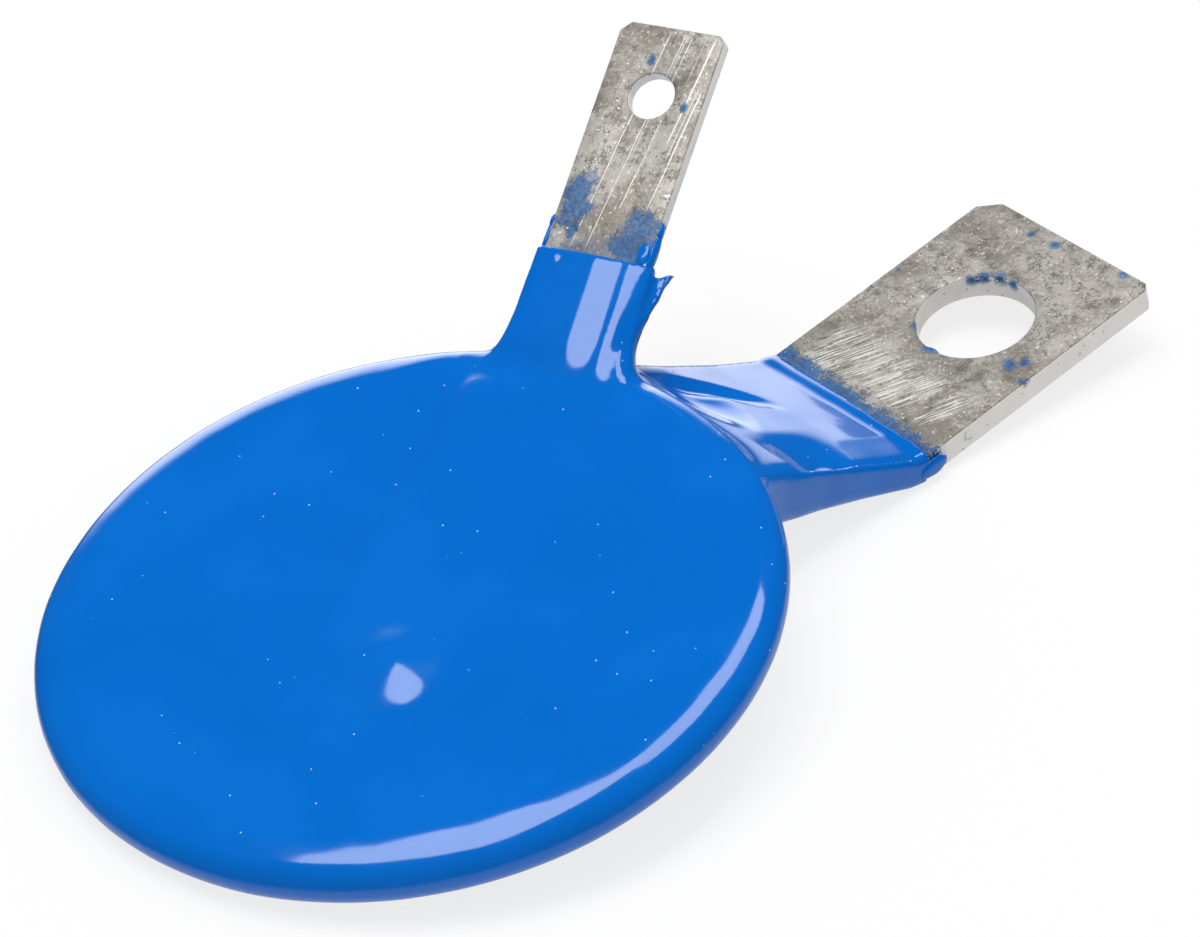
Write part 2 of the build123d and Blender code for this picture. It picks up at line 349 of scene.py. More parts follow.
flow = coat.vertex_groups.new(name="flow")
for vert in coat.data.vertices:
    narrow_pull = near_foot(vert.co, narrow_foot, narrow_flat, narrow_foot_size)
    wide_pull = near_foot(vert.co, wide_foot, wide_along, wide_foot_size)
    flow.add([vert.index], max(narrow_pull, wide_pull), "REPLACE")

relax = coat.modifiers.new("flow", "SMOOTH")
relax.factor = pull
relax.iterations = flow_rounds
relax.vertex_group = "flow"
settle = coat.modifiers.new("settle", "SMOOTH")
settle.factor = pull
settle.iterations = settle_rounds
apply_modifiers(coat)
print("relaxed", flow_rounds, "times at the feet and", settle_rounds, "times all over")

# %% [markdown]
# ## The resin on the two necks
#
# On the narrow neck the resin is thickest at the left. It falls away to the
# right in two steps with a shallow valley between, and each step mirrors the
# soft box overhead as a long band. The wide neck has a hollow near the disc,
# where the resin pooled, a slanting groove beside it, and a shoulder that falls
# to the right. Forms this shallow would be lost in a bump map from any side
# view, so the points move, by formulas in millimetres. The resin is thin over
# the wide strap, and a ray from each point finds how far it may sink.

# %% Crown the narrow neck
crown_height = 0.35
first_step = 0.42
second_step = 0.28
blister = 0.08
bend_to_hole = 25.2 * mm
narrow_bend = narrow_hole - narrow_along * bend_to_hole


def crown(s, t):
    """How far the narrow neck's top moves out of its face, s mm above the bend and t mm to the left."""
    right = -t - 0.05 * (9 - s)
    steps = first_step * fade(right, 0.3, 3.1) + second_step * fade(right, 3.5, 4.9)
    spot = blister * (1 - fade(math.hypot(s - 9.0, t - 3.3), 0, 0.8))
    return (crown_height - steps + spot) * mm * fade(s, -2, 2.5)


print("crown at the neck's middle:", round(crown(9, 0) / mm, 2), "mm")

# %% Hollow the wide neck
pool_depth = 0.75
groove_depth = 0.55
groove_slant = 0.78
shoulder_drop = 1.15
corner_drop = 0.42
least_cover = 0.12 * mm
deepest_look = 4 * mm


def hollow(x, y):
    """How far the wide neck's top sinks, x mm out from the disc's centre and y mm to its left."""
    pool = pool_depth * (1 - fade(math.hypot((x - 35.0) / 1.8, (y - 3.5) / 5.0), 0, 1.5))
    askew = x + groove_slant * y
    groove = groove_depth * (1 - fade(math.hypot((askew - 41.4) / 1.6, (y - 4.5) / 3.2), 0, 1.4))
    shoulder = shoulder_drop * fade(-y, 3.4, 10.5) * fade(x, 42, 37)
    corner = corner_drop * min(1, max(0, (-y - 6) / 5))
    ends = fade(x, 33, 36) * fade(x, 47.4, 45.6)
    return (pool + groove + max(shoulder, corner) * ends) * mm


strap_inside = merged_copy("wide_terminal")
under_skin = BVHTree.FromBMesh(strap_inside)
strap_inside.free()


def spare(point, inwards):
    """How far a point of the coat may sink before the wide strap would show."""
    depth = under_skin.ray_cast(point, inwards, deepest_look)[3]
    return deepest_look if depth is None else max(0, depth - least_cover)


print("deepest hollow:", round(hollow(35, 3.5) / mm, 2), "mm")

# %% Move the necks' points and add a faint waviness
wave_size = 9 * mm
wave_height = 0.045 * mm
small_waves = 2.7
web_stretch = 0.8 * mm
slope_top = 14 * mm
# How squarely a point has to face out of its neck: where it starts to move, and moves fully
narrow_facing = (0.15, 0.75)
wide_facing = (0.4, 0.7)
# Where the necks lie, in mm: from the bend or the disc's centre, and to each side
narrow_start, narrow_side = -3, 9
wide_start, wide_end, wide_side = 30, 48, 12
outwards = [vert.normal.copy() for vert in coat.data.vertices]
for vert, outward in zip(coat.data.vertices, outwards):
    wave = noise.noise(vert.co / wave_size) + 0.5 * noise.noise(vert.co * small_waves / wave_size)
    from_bend = (vert.co - narrow_bend) / mm
    s, t = from_bend.dot(narrow_along), from_bend.dot(narrow_left)
    if s > narrow_start and abs(t) < narrow_side and vert.co.z > necks_split_height:
        vert.co += narrow_out * crown(s, t) * fade(outward.dot(narrow_out), *narrow_facing)
        vert.co += narrow_along * web_stretch * fade(-t, 5, 6) * fade(s, 3, 8)
    x, y, _ = (vert.co - disc_centre) / mm
    on_wide_neck = wide_start < x < wide_end and abs(y) < wide_side and vert.co.z < slope_top
    if on_wide_neck and outward.z > wide_facing[0]:
        sink = hollow(x, y) * fade(outward.z, *wide_facing)
        vert.co -= outward * min(sink, spare(vert.co, -outward))
    vert.co += outward * wave * wave_height
for face in coat.data.polygons:
    face.use_smooth = True
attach(coat, "root")
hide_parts("epoxy_coating")
print("coat:", len(coat.data.polygons), "faces")

# %% [markdown]
# ## Straps with worn edges
#
# The straps are stamped from sheet and tinned, so their edges are a little
# round and catch the light as a thin line. The imported straps have crisp edges.
# A Bevel modifier would also round the seams between their triangles. So the
# flat faces are first dissolved back to whole outlines, and then the bevel
# operator takes only the edges with a real corner. The sides that the stamp cut
# shine more than the faces, so the finish paints them near white as a painted
# sheen, and an attribute marks them.

# %% Bevel the two straps
edge_round = 0.18 * mm
corner_angle = math.radians(40)
seam_angle = math.radians(0.5)
shading_angle = math.radians(32)
side_limit = 0.35


def worn_strap(node, name, out):
    """A copy of a strap, whose faces point along out, with rounded corners, and its cut sides marked for a
    painted sheen.
    """
    strap = merged_copy(node)
    bmesh.ops.recalc_face_normals(strap, faces=strap.faces)
    bmesh.ops.dissolve_limit(strap, angle_limit=seam_angle, verts=strap.verts, edges=strap.edges)
    corners = [edge for edge in strap.edges if edge.is_manifold and edge.calc_face_angle() > corner_angle]
    bmesh.ops.bevel(
        strap, geom=corners, offset=edge_round, offset_type="OFFSET", affect="EDGES",
        segments=3, profile=0.5, material=-1, clamp_overlap=True,
    )
    bmesh.ops.triangulate(strap, faces=[face for face in strap.faces if len(face.verts) > 4])
    for face in strap.faces:
        face.smooth = True
    piece = piece_from(strap, name)
    piece.data.set_sharp_from_angle(angle=shading_angle)
    sheen_side = piece.data.attributes.new("sheen_side", "FLOAT", "FACE")
    for face in piece.data.polygons:
        sheen_side.data[face.index].value = 1.0 if abs(face.normal.dot(out)) < side_limit else 0.0
    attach(piece, "root")
    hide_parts(node)
    print(name, len(piece.data.polygons), "faces,", len(corners), "corners bevelled")
    return piece


wide_strap = worn_strap("wide_terminal", "wide_strap", up)
narrow_strap = worn_strap("narrow_terminal", "narrow_strap", narrow_out)

# %% [markdown]
# ## A helper for finishes
#
# A finish is a small circuit of nodes. Written by hand, each link takes a line,
# and the idea is lost in wiring. The first class below wraps a socket, so that
# sums on sockets add the Math nodes themselves. The second holds one circuit:
# one method adds any other node, and the rest are steps that finishes share.

# %% A socket that can be added and multiplied
class Wire:
    """One output of a finish's circuit. Sums on it add Math nodes."""

    def __init__(self, finish, socket):
        self.finish = finish
        self.socket = socket

    def sum(self, operation, first, second):
        """Adds the Math node for a sum of two wires or numbers."""
        return self.finish.add("ShaderNodeMath", {"operation": operation}, {0: first, 1: second})

    def __add__(self, other):
        return self.sum("ADD", self, other)

    def __radd__(self, other):
        return self.sum("ADD", other, self)

    def __sub__(self, other):
        return self.sum("SUBTRACT", self, other)

    def __rsub__(self, other):
        return self.sum("SUBTRACT", other, self)

    def __mul__(self, other):
        return self.sum("MULTIPLY", self, other)

    def __rmul__(self, other):
        return self.sum("MULTIPLY", other, self)


print("sums on wires: add, subtract and multiply")


# %% A finish's circuit
class Finish:
    """A material being made: its circuit, and the steps that finishes here share."""

    def __init__(self, name):
        self.material = bpy.data.materials.new(name)
        self.material.use_nodes = True
        self.tree = self.material.node_tree
        self.tree.nodes.clear()
        self.place = self.add("ShaderNodeTexCoord", output="Object")

    def add(self, kind, settings=None, values=None, output=0):
        """Adds a node, sets it up, fills its sockets with numbers or wires, and returns an output."""
        node = self.tree.nodes.new(kind)
        for key, value in (settings or {}).items():
            setattr(node, key, value)
        for key, value in (values or {}).items():
            if isinstance(key, int):
                socket = node.inputs[key]
            else:
                socket = next(s for s in node.inputs if s.name == key and s.enabled)
            if isinstance(value, Wire):
                self.tree.links.new(value.socket, socket)
            else:
                socket.default_value = value
        if not node.outputs:
            return None
        if isinstance(output, int):
            return Wire(self, node.outputs[output])
        return Wire(self, next(s for s in node.outputs if s.name == output and s.enabled))

    def noise(self, size, place=None, detail=3, roughness=0.5):
        """Cloudy noise from 0 to 1 whose blobs are about this size, in the place's units."""
        values = {"Vector": place or self.place, "Scale": 1 / size, "Detail": detail, "Roughness": roughness}
        return self.add("ShaderNodeTexNoise", {}, values)

    def rise(self, value, start, end):
        """0 up to start, 1 from end, with a smooth slope between. Swap the ends for a fall."""
        settings = {"interpolation_type": "SMOOTHSTEP"}
        values = {"Value": value, "From Min": start, "From Max": end}
        return self.add("ShaderNodeMapRange", settings, values)

    def blend(self, mask, first, second):
        """The first colour where the mask is 0, the second where it is 1."""
        values = {"Factor": mask, "A": first, "B": second}
        return self.add("ShaderNodeMix", {"data_type": "RGBA"}, values, output="Result")

    def along(self, direction, origin=(0, 0, 0)):
        """How far a point lies from the origin in one direction, in metres."""
        moved = self.add("ShaderNodeVectorMath", {"operation": "SUBTRACT"}, {0: self.place, 1: origin})
        return self.add(
            "ShaderNodeVectorMath", {"operation": "DOT_PRODUCT"}, {0: moved, 1: direction}, output="Value"
        )

    def grain(self, first, first_size, second, second_size):
        """Noise drawn out along a strap: each direction has its own blob size."""
        shrunk = {"X": first * (1 / first_size), "Y": second * (1 / second_size)}
        place = self.add("ShaderNodeCombineXYZ", {}, shrunk)
        return self.noise(1.0, place, detail=2)

    def at_most_one(self, mask):
        """The mask, with its sums cut off at 1."""
        return self.add("ShaderNodeMath", {"operation": "MINIMUM"}, {0: mask, 1: 1.0})

    def end(self, shader, kind="ShaderNodeOutputMaterial"):
        """Adds the output node, which ends the circuit."""
        self.add(kind, {}, {"Surface": shader})

    def close(self, values):
        """Feeds the surface shader, ends the circuit and returns the material."""
        self.end(self.add("ShaderNodeBsdfPrincipled", {}, values))
        return self.material


print("steps of a finish: noise, rise, blend, along, grain, at_most_one, end and close")

# %% [markdown]
# ## Glossy blue epoxy
#
# The coat is a deep, even blue with a hard gloss. Close up it has pinholes and
# specks of dust, pale and dark, and the gloss is a touch uneven. A painted
# picture would need the coat unwrapped, and it would blur close up, so the
# finish is worked out from each point's place. The colour is nearly flat. The
# surface does the work: a fine bump breaks the edges of the reflections, and a
# second sparse pattern sets in the specks.

# %% Epoxy
epoxy_blue = (0.0, 0.141, 0.575, 1)
epoxy_deep = (0.0, 0.130, 0.54, 1)
speck_pale = (0.45, 0.62, 0.85, 1)
speck_dark = (0.004, 0.02, 0.08, 1)


def specks(finish, spacing, size, share):
    """Sparse round specks: 1 on a speck. Share is how many of the cells hold one."""
    cell = {"feature": "F1", "distance": "EUCLIDEAN"}
    values = {"Vector": finish.place, "Scale": 1 / spacing, "Randomness": 1.0}
    reach = finish.add("ShaderNodeTexVoronoi", cell, values, output="Distance")
    pick = finish.add("ShaderNodeTexVoronoi", cell, values, output="Color")
    chosen = finish.rise(finish.add("ShaderNodeSeparateColor", {}, {"Color": pick}), 1 - share, 1.001 - share)
    return finish.rise(reach, size / spacing, 0.5 * size / spacing) * chosen


def blue_epoxy(name):
    """The coat's finish: two close blues, specks and a nearly even gloss."""
    finish = Finish(name)
    cloud = finish.noise(12 * mm)
    pale = specks(finish, 1.2 * mm, 0.10 * mm, 0.25)
    dark = specks(finish, 1.6 * mm, 0.09 * mm, 0.12)
    blue = finish.blend(finish.rise(cloud, 0.35, 0.65), epoxy_deep, epoxy_blue)
    colour = finish.blend(dark, finish.blend(pale, blue, speck_pale), speck_dark)
    skin = finish.noise(1.6 * mm, detail=4, roughness=0.6)
    height = 0.006 * skin + 0.03 * pale - 0.05 * dark
    dents = finish.add("ShaderNodeBump", {}, {"Strength": 1.0, "Distance": mm, "Height": height})
    return finish.close({
        "Base Color": colour,
        "Roughness": 0.07 + 0.05 * finish.rise(cloud, 0.3, 0.7) + 0.4 * pale,
        "IOR": 1.52,
        "Normal": dents,
    })


def dress(piece, material):
    """Gives the piece this finish and no other."""
    piece.data.materials.clear()
    piece.data.materials.append(material)


epoxy = blue_epoxy("blue_epoxy")
dress(coat, epoxy)
print("epoxy on", coat.name)

# %% [markdown]
# ## Tinned copper
#
# Hot tin sets to a warm grey skin, clouded, creased, pitted and full of fine
# grit. The shade along the creases is painted in as dark lines, the glints of the
# grit as near-white specks and flecks, and the shine of the cut sides as near
# white: painted shade, painted highlights and a painted sheen. Where it has
# rubbed against other parts it is scratched bright: a few long lines along the
# narrow strap, and short strokes beside the coat on the wide one. Resin that
# crept under the mask is left as speckled blue patches.
# One noise for all of this would look like dirt of one kind. So each mark is a
# mask of its own from 0 to 1, and the masks are stacked from the tin outwards.

# %% Tin and resin colours
tin_light = (0.50, 0.475, 0.435, 1)
tin_mid = (0.26, 0.236, 0.198, 1)
tin_dark = (0.10, 0.088, 0.075, 1)
# Near white for the painted highlights (the glints) and for the real bright scratches
glint_and_scratch_white = (0.88, 0.86, 0.82, 1)
# Near white for the painted sheen on the cut sides
side_sheen_white = (0.95, 0.92, 0.88, 1)
haze_deep = (0.004, 0.05, 0.20, 1)
haze_pale = (0.035, 0.16, 0.35, 1)
narrow_metal = 0.35
wide_metal = 0.5
print("light tin is", round(tin_light[0] / tin_dark[0], 1), "times as bright as dark tin")

# %% Marks that both straps share


def patch(finish, s, t, centre, reach):
    """1 at a place on a strap, fading to 0 at an oval border round it."""
    along = (s - centre[0] * mm) * (1 / (reach[0] * mm))
    across = (t - centre[1] * mm) * (1 / (reach[1] * mm))
    return finish.rise(along * along + across * across, 1, 0)


def near_value(finish, wire, value, reach):
    """1 where the wire lies this close to the value, which draws a line."""
    return finish.add("ShaderNodeMath", {"operation": "COMPARE"}, {0: wire, 1: value, 2: reach})


def bare_tin(finish, cloud, grit):
    """The tin's colour: clouds, then dark stains, then painted shade along creases, then painted highlights
    as glints on the grit, in specks and in flecks.
    """
    stain = finish.rise(finish.noise(1.7 * mm, detail=6, roughness=0.72), 0.50, 0.62)
    # Painted shade: thin dark lines along creases, where shade would fall
    crease_shade = near_value(finish, finish.noise(3.2 * mm, detail=5, roughness=0.62), 0.53, 0.007)
    # Painted highlights: glints in specks, flecks and the brightest grit are painted near white
    glints = specks(finish, 0.70 * mm, 0.13 * mm, 0.45)
    glint_flecks = finish.rise(finish.noise(0.75 * mm, detail=6, roughness=0.75), 0.61, 0.66)
    bright = finish.rise(grit, 0.56, 0.70) * 0.45 + 0.7 * glints + 0.75 * glint_flecks
    colour = finish.blend(finish.rise(cloud + 0.5 * grit, 0.60, 0.90), tin_mid, tin_light)
    colour = finish.blend(stain * finish.rise(grit, 0.38, 0.55) * 0.80, colour, tin_dark)
    colour = finish.blend(crease_shade * finish.rise(cloud, 0.45, 0.56) * 0.8, colour, tin_dark)
    return finish.blend(bright, colour, glint_and_scratch_white)


print("marks ready: patches, thin lines and the bare tin under them")

# %% The tinned strap's finish


def tin(name, along, across, origin, scratch_run, haze, metal):
    """Tinned strap. One function marks its scratches and one the resin left on it."""
    finish = Finish(name)
    s = finish.along(along, origin)
    t = finish.along(across, origin)
    cloud = finish.noise(4.5 * mm, detail=5, roughness=0.6)
    grit = finish.noise(0.32 * mm, detail=4, roughness=0.7)
    pits = specks(finish, 0.62 * mm, 0.11 * mm, 0.35)
    sheen_side = finish.add("ShaderNodeAttribute", {"attribute_name": "sheen_side"}, output="Fac")
    scratch = scratch_run(finish, s, t, grit)
    blue = haze(finish, s, t, grit)
    resin = finish.blend(finish.rise(grit + 0.4 * cloud, 0.55, 0.85), haze_deep, haze_pale)
    # Painted sheen: the cut sides are painted near white and lose most of their metal, so they look lit
    colour = finish.blend(sheen_side * (1 - 0.3 * cloud), bare_tin(finish, cloud, grit), side_sheen_white)
    colour = finish.blend(pits * 0.8, colour, tin_dark)
    colour = finish.blend(scratch, colour, glint_and_scratch_white)
    colour = finish.blend(blue, colour, resin)
    height = 0.03 * cloud + 0.035 * grit - 0.04 * pits - 0.02 * scratch + 0.04 * blue
    dents = finish.add("ShaderNodeBump", {}, {"Strength": 0.8, "Distance": mm, "Height": height})
    return finish.close({
        "Base Color": colour,
        "Metallic": metal * (1 - blue) * (1 - 0.8 * sheen_side),
        "Roughness": 0.46 + 0.14 * grit - 0.12 * scratch,
        "Normal": dents,
    })


print("tin finish ready for a strap's scratches and resin")

# %% Scratches on each strap


def long_scratches(finish, s, t, grit):
    """Long lines, a little askew to the strap: each one's place, width, start and end in mm."""
    wander = finish.noise(7 * mm, detail=1) * (0.3 * mm)
    skewed = t + 0.115 * s + wander
    runs = [
        (1.0, 0.09, -15.2, 6.4), (-0.4, 0.08, -15.2, 6.4), (-0.65, 0.05, -6, 6.4), (-1.1, 0.07, 0.5, 6.4),
        (-1.8, 0.09, -11, -1.5), (-1.95, 0.05, -8, -3), (-3.3, 0.15, -4.5, 6.4), (-4.2, 0.11, -11.5, 1.5),
        (-3.8, 0.06, -6, 2), (-2.45, 0.04, 1, 6.4), (2.45, 0.03, -8, -2),
    ]
    marks = 0.0
    for centre, width, start, end in runs:
        extent = finish.rise(s, start * mm, (start + 1.2) * mm) * finish.rise(s, end * mm, (end - 1.2) * mm)
        marks = near_value(finish, skewed, centre * mm, width * mm / 2) * extent + marks
    faint = finish.rise(finish.grain(skewed, 0.10 * mm, s, 9 * mm), 0.64, 0.70)
    faint = faint * finish.rise(t, 1 * mm, -2 * mm)
    return (marks * finish.rise(grit, 0.25, 0.42) + 0.35 * faint) * 0.9


def short_strokes(finish, s, t, grit):
    """Short slanting strokes in a broken band beside the coat line."""
    run = 0.92 * s - 0.39 * t
    side = 0.39 * s + 0.92 * t
    lines = finish.rise(finish.grain(side, 0.13 * mm, run, 4 * mm), 0.50, 0.58)
    beside = finish.rise(s, -12.9 * mm, -12.2 * mm) * finish.rise(s, -6.2 * mm, -8.8 * mm)
    inside = finish.rise(t, 9.2 * mm, 8.2 * mm) * finish.rise(t, -8.2 * mm, -6.8 * mm)
    gaps = finish.rise(finish.grain(side, 1.5 * mm, run, 12 * mm), 0.40, 0.47)
    faint = finish.rise(finish.grain(t + 0.3 * s, 0.10 * mm, s, 6 * mm), 0.66, 0.72) * 0.3
    return beside * inside * gaps * lines * 0.95 + faint * finish.rise(grit, 0.3, 0.5)


print("scratches: long on the narrow strap, short on the wide one")

# %% Resin left on each strap


def narrow_haze(finish, s, t, grit):
    """A soft patch at the left, a speckled one at the right, and a thin film between."""
    cloud = finish.noise(1.4 * mm, detail=5, roughness=0.65)
    left = patch(finish, s, t, (-10.6, 3.3), (4.2, 2.3))
    right = patch(finish, s, t, (-13.2, -3.2), (4.6, 3.1))
    film = finish.rise(s, 3.5 * mm - narrow_coat_line, -narrow_coat_line)
    dots = patch(finish, s, t, (3.3, 1.1), (0.9, 0.6)) + patch(finish, s, t, (-0.6, -3.3), (0.8, 0.5))
    solid = finish.rise(2.6 * (cloud - 0.5) + left + 0.5 * grit, 0.62, 1.12) * 0.92
    broken = finish.rise(1.6 * (cloud - 0.5) + 1.6 * (grit - 0.5) + right, 0.40, 0.80) * 0.9
    thin = finish.rise(cloud + 0.4 * grit, 0.58, 0.86) * film * 0.6
    bits = finish.rise(dots + 2.6 * (cloud + grit - 1), 0.50, 0.70) * dots
    return finish.at_most_one(solid + broken + thin + bits)


def wide_haze(finish, s, t, grit):
    """A speckled strip along the coat line, and crumbs: each one's place and reach in mm."""
    cloud = finish.noise(1.0 * mm, detail=4, roughness=0.6)
    past_line = s - wide_line_skew * t + wide_coat_line + 0.9 * mm * (cloud - 0.5)
    strip = finish.rise(past_line, 2.5 * mm, 1.5 * mm)
    nearer = finish.rise(past_line, 2.3 * mm, 0.3 * mm)
    speckled = finish.rise(1.5 * (cloud - 0.5) + 2.2 * (grit - 0.5) + 0.5 * nearer, 0.17, 0.30) * strip
    crumbs = [
        (-2.6, -6.9, 2.3, 1.3), (-3.3, -9.4, 2.3, 0.8), (0.2, 10.0, 2.0, 0.7), (10.7, 3.9, 2.3, 0.7),
        (10.9, 1.1, 2.3, 0.9), (11.8, -6.6, 2.2, 1.0), (-5.2, 0.3, 1.9, 1.5), (-4.6, 2.4, 1.5, 1.3),
        (-3.9, 3.5, 1.8, 1.1), (3.4, 4.0, 2.0, 0.9), (4.2, 3.2, 2.1, 1.1), (4.9, 1.9, 2.1, 1.1),
        (5.2, 0.6, 2.0, 1.0), (-10.4, -10.0, 1.2, 0.9), (3.0, -10.1, 0.8, 0.7), (-1.6, -7.8, 2.3, 1.0),
    ]
    marks = speckled
    for x, y, z, reach in crumbs:
        ends = {0: finish.place, 1: (x * mm, y * mm, z * mm)}
        gap = finish.add("ShaderNodeVectorMath", {"operation": "DISTANCE"}, ends, output="Value")
        near = finish.rise(gap, 1.15 * reach * mm, 0.1 * reach * mm)
        marks = finish.rise(near + 3.2 * (cloud + grit - 1), 0.45, 0.60) * near + marks
    return finish.at_most_one(marks)


print("resin: patches on the narrow strap, a strip and crumbs on the wide one")

# %% Tin on both straps
narrow_tin = tin(
    "narrow_tin", narrow_along, narrow_left, narrow_hole, long_scratches, narrow_haze, narrow_metal
)
wide_tin = tin("wide_tin", wide_along, wide_left, Vector(), short_strokes, wide_haze, wide_metal)
dress(narrow_strap, narrow_tin)
dress(wide_strap, wide_tin)
for strap in (narrow_strap, wide_strap):
    print(strap.name, "wears", strap.data.materials[0].name)

# %% [markdown]
# ## Beads of resin beside the coat lines
#
# Resin creeps along a strap's edge by its surface tension and sets there as
# small beads. They are solid, so paint alone would look flat: each bead is a
# ball drawn out along the edge, roughened with noise and half sunk in the tin.

# %% Make the beads
narrow_axes = (narrow_bend, narrow_along, narrow_left, narrow_out)
wide_axes = (Vector(), wide_along, wide_left, up)
bead_roughness = 0.22
bead_places = [
    (narrow_axes, (10.9, 4.95, -0.45), (1.7, 0.30, 0.62)),
    (narrow_axes, (12.6, 4.98, -0.30), (0.7, 0.24, 0.40)),
    (narrow_axes, (11.2, -4.95, -0.50), (2.0, 0.34, 0.62)),
    (narrow_axes, (13.3, -4.95, -0.40), (0.8, 0.26, 0.42)),
    (narrow_axes, (11.0, -4.25, 0.0), (1.1, 0.55, 0.16)),
    (wide_axes, (-13.4, 10.05, 1.6), (1.1, 0.28, 0.75)),
    (wide_axes, (-14.9, -10.0, 1.2), (1.5, 0.22, 0.85)),
    (wide_axes, (-5.15, 0.2, 1.5), (0.35, 1.1, 0.75)),
]
work = bmesh.new()
for (start, along, across, out), place, size in bead_places:
    ball = bmesh.ops.create_icosphere(work, subdivisions=3, radius=1.0)["verts"]
    for vert in ball:
        rough = 1 + bead_roughness * noise.noise(vert.co * 1.6 + Vector(place))
        a, b, c = (place[i] + size[i] * vert.co[i] * rough for i in range(3))
        vert.co = start + (along * a + across * b + out * c) * mm
bmesh.ops.recalc_face_normals(work, faces=work.faces)
for face in work.faces:
    face.smooth = True
beads = piece_from(work, "resin_beads")
dress(beads, epoxy)
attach(beads, "root")
print("beads:", len(bead_places), "with", len(beads.data.polygons), "faces")

# %% [markdown]
# ## What the coat hides
#
# The ceramic, the sprayed films and the solder can't be seen, but they are
# real pieces, and someone may take the model apart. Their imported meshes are
# plain already, as the real pieces are, so they keep them. One short function
# gives each a finish: fired ceramic is dark and matt, sprayed metal is grainy,
# and solder is smoother and brighter.

# %% Hidden pieces


def plain(name, light, dark, metallic, roughness, blob):
    """A finish of two close colours in blobs, with a faint bump."""
    finish = Finish(name)
    cloud = finish.noise(blob, detail=4, roughness=0.6)
    dents = finish.add("ShaderNodeBump", {}, {"Strength": 1.0, "Distance": mm, "Height": 0.03 * cloud})
    return finish.close({
        "Base Color": finish.blend(finish.rise(cloud, 0.35, 0.65), light, dark),
        "Metallic": metallic,
        "Roughness": roughness + 0.15 * cloud,
        "Normal": dents,
    })


fired_ceramic = plain("fired_ceramic", (0.055, 0.06, 0.05, 1), (0.03, 0.035, 0.03, 1), 0.0, 0.65, 0.6 * mm)
sprayed_film = plain("sprayed_film", (0.72, 0.70, 0.66, 1), (0.55, 0.53, 0.50, 1), 0.9, 0.45, 0.8 * mm)
solder_skin = plain("solder_skin", (0.60, 0.60, 0.60, 1), (0.42, 0.42, 0.43, 1), 0.9, 0.35, 1.5 * mm)
hidden = {
    "ceramic_disc": fired_ceramic, "top_electrode": sprayed_film, "bottom_electrode": sprayed_film,
    "top_solder": solder_skin, "bottom_solder": solder_skin,
}
for name, material in hidden.items():
    dress(nodes[name], material)
print("hidden pieces:", len(hidden))

# %% [markdown]
# ## The table
#
# The part doesn't lie level: it rests on the far rim's underside and on the
# bend of the wide strap, so in its own frame the table is tipped. A rigid body
# run would drop the part and turn it, but the part has to stay where it is. So
# the tip is found as a balance would find it: the table is tipped by halves
# until it touches both ends at once.

# %% Find the tip of the table
steepest = math.radians(20)
halvings = 24
shown = [vert.co for piece in (coat, wide_strap, narrow_strap) for vert in piece.data.vertices]
flatter, steeper = 0.0, steepest
for _ in range(halvings):
    tip = (flatter + steeper) / 2
    table_up = Vector((math.sin(tip), 0, math.cos(tip)))
    lowest = min(shown, key=table_up.dot)
    if lowest.x < disc_centre.x:
        steeper = tip
    else:
        flatter = tip
table_height = table_up.dot(lowest)
print("table tipped by", round(math.degrees(tip), 2), "degrees")

# %% Lay the table
table_size = 3.0
spot = Vector((disc_centre.x, disc_centre.y, 0))
spot += table_up * (table_height - spot.dot(table_up))
lay = Matrix.Translation(spot) @ Matrix.Rotation(tip, 4, "Y")
work = bmesh.new()
bmesh.ops.create_grid(work, x_segments=1, y_segments=1, size=table_size / 2)
bmesh.ops.transform(work, matrix=lay, verts=work.verts)
table = piece_from(work, "table")
print("table lies", round(-table_height / mm, 2), "mm below the bolt hole's seat")

# %% [markdown]
# ## The table's white
#
# In the photograph the paper under the part is burnt out to white, and only the
# part's shadow shows on it. More light would burn out the part as well. So the
# paper is a pale matt white that also glows, for the camera alone. Rays that a
# gloss sends down pass through it to the world, which stands in for it there.

# %% White paper
paper = (0.80, 0.80, 0.80, 1)
paper_glow = 0.8


def white_paper(name):
    """Matt paper that the camera sees as nearly white, and that a gloss doesn't see."""
    finish = Finish(name)
    seen_by_camera = finish.add("ShaderNodeLightPath", output="Is Camera Ray")
    seen_in_gloss = finish.add("ShaderNodeLightPath", output="Is Glossy Ray")
    matt = finish.add("ShaderNodeBsdfDiffuse", {}, {"Color": paper})
    glow = finish.add("ShaderNodeEmission", {}, {"Color": (1, 1, 1, 1), "Strength": 1.0})
    clear = finish.add("ShaderNodeBsdfTransparent")
    sheet = finish.add("ShaderNodeMixShader", {}, {0: paper_glow * seen_by_camera, 1: matt, 2: glow})
    finish.end(finish.add("ShaderNodeMixShader", {}, {0: seen_in_gloss, 1: sheet, 2: clear}))
    return finish.material


dress(table, white_paper("white_table"))
print("paper on the", table.name)

# %% [markdown]
# ## Light
#
# Product photographs are lit by soft boxes above a white sweep. Sun or point
# lamps would leave small hard spots in the gloss. The boxes are what the epoxy
# mirrors, so their places matter more than their power: each is set in the
# direction that a highlight in the photograph reflects. The overhead one makes
# the bands on the narrow neck and the lower crescent on the rim, and the one at
# the side makes the right crescent.

# %% Soft boxes
box_height = 1.0
box_turn = math.radians(20)


def soft_box(name, across, size, power):
    """A rectangular lamp above the disc, facing straight down."""
    lamp = bpy.data.lights.new(name, "AREA")
    lamp.shape = "RECTANGLE"
    lamp.size, lamp.size_y = size
    lamp.energy = power
    holder = bpy.data.objects.new(name, lamp)
    holder.location = disc_centre + Vector((*across, box_height))
    holder.rotation_euler.z = box_turn
    bpy.context.scene.collection.objects.link(holder)
    print(name, "with", power, "watts")


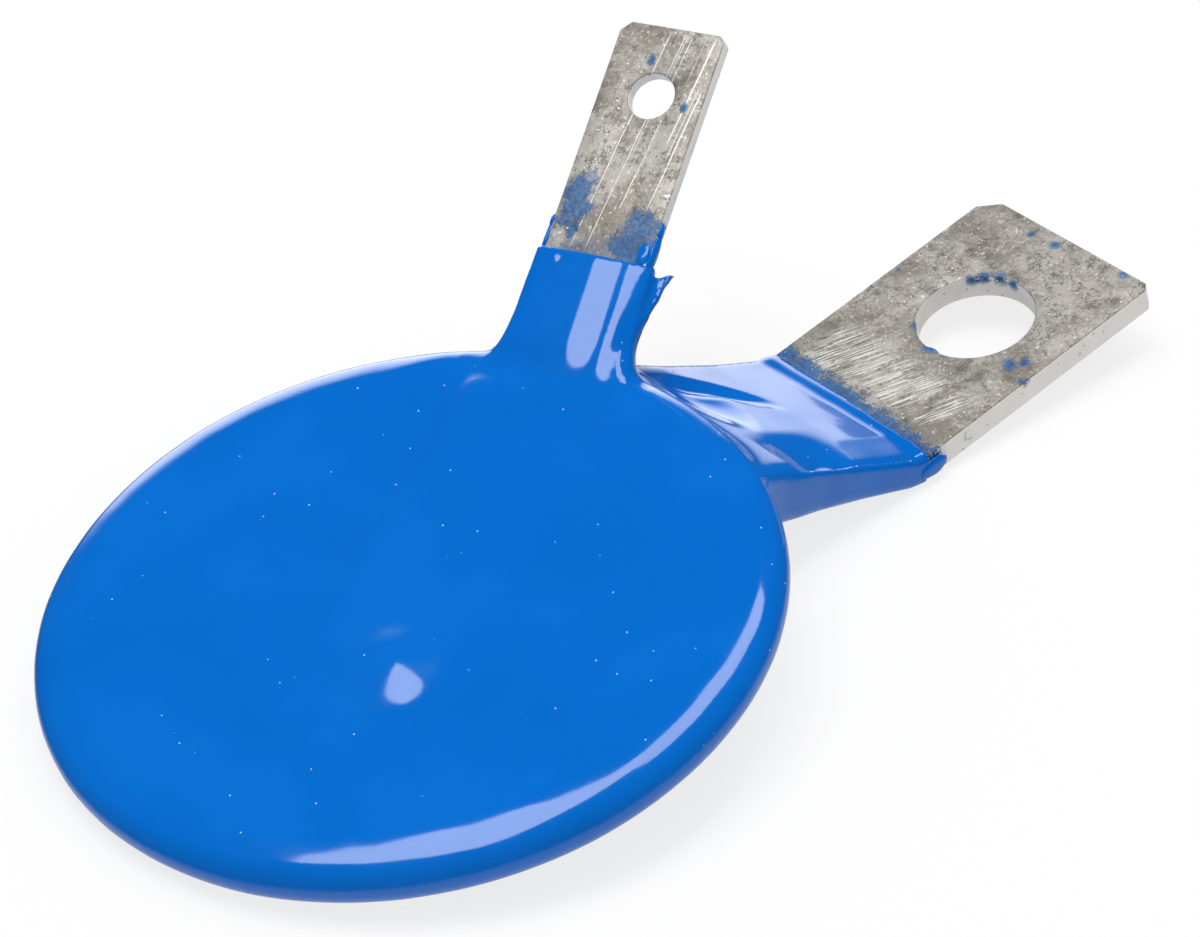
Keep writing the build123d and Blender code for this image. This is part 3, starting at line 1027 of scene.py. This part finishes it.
soft_box("overhead_box", across=(0.058, 0.10), size=(0.555, 0.56), power=6.0)
soft_box("side_box", across=(0.80, 0.08), size=(0.90, 0.30), power=4.7)

# %% [markdown]
# ## The white sweep
#
# The world stands in for the sweep. The camera sees it plain white. A gloss
# sees what the part would mirror: the bright far wall of the sweep, low down,
# the pale paper below, and darkness elsewhere, which keeps the blue deep. All
# other rays get an even half light. One even world for every ray would be
# simpler, but it would lay a grey veil over the epoxy.

# %% The world's light
plain_sky = 0.5
mirror_sky = 0.035
wall_glow = 3.0
floor_glow = 0.66
far_side = Vector((0.574, 0.819, 0))


class Sweep(Finish):
    """The world's circuit, with the same steps as a finish."""

    def __init__(self, tree):
        self.tree = tree
        self.place = self.add("ShaderNodeTexCoord", output="Generated")


world = bpy.data.worlds.new("white_sweep")
bpy.context.scene.world = world
world.use_nodes = True
world.node_tree.nodes.clear()
sweep = Sweep(world.node_tree)
height = sweep.along(up)
wall = wall_glow * sweep.rise(height, 0.44, 0.10) * sweep.rise(sweep.along(far_side), 0.915, 0.966)
floor = floor_glow * sweep.rise(height, -0.30, -0.62)
mirrored = mirror_sky + sweep.add("ShaderNodeMath", {"operation": "MAXIMUM"}, {0: wall, 1: floor})
camera_ray = sweep.add("ShaderNodeLightPath", output="Is Camera Ray")
mirror_ray = sweep.add("ShaderNodeLightPath", output="Is Glossy Ray")
strength = camera_ray + mirror_ray * mirrored + (1 - camera_ray - mirror_ray) * plain_sky
sky = sweep.add("ShaderNodeBackground", {}, {"Color": (1, 1, 1, 1), "Strength": strength})
sweep.end(sky, "ShaderNodeOutputWorld")
print("world:", len(sweep.tree.nodes), "nodes")

# %% [markdown]
# ## Camera
#
# The photograph was taken with a long lens from a bit over half a metre, well
# above the part. Turning a camera by eye gets near, but a lens and a place can
# make up for each other's error. The values below come from a fit to the
# outline, the rim and both holes. The lens is told by how many of the photo's
# pixels one unit across covers at one unit away.

# %% Camera
camera_place = Vector((-288.37, -377.25, 408.57)) * mm
camera_forward = Vector((0.41274, 0.63026, -0.65758))
camera_top = Vector((0.54261, 0.40973, 0.73328))
lens_pixels = 7217.4
photo_width = 1200
sensor = 36.0
nearest_seen = 0.05

lens = bpy.data.cameras.new("camera")
lens.sensor_width = sensor
lens.lens = sensor * lens_pixels / photo_width
lens.clip_start = nearest_seen
viewer = bpy.data.objects.new("camera", lens)
right = camera_forward.cross(camera_top).normalized()
top = right.cross(camera_forward).normalized()
aim = Matrix((right, top, -camera_forward.normalized())).transposed()
viewer.matrix_world = Matrix.Translation(camera_place) @ aim.to_4x4()
bpy.context.scene.collection.objects.link(viewer)
bpy.context.scene.camera = viewer
bpy.context.scene.view_settings.view_transform = "Standard"
print("lens", round(lens.lens, 1), "mm")
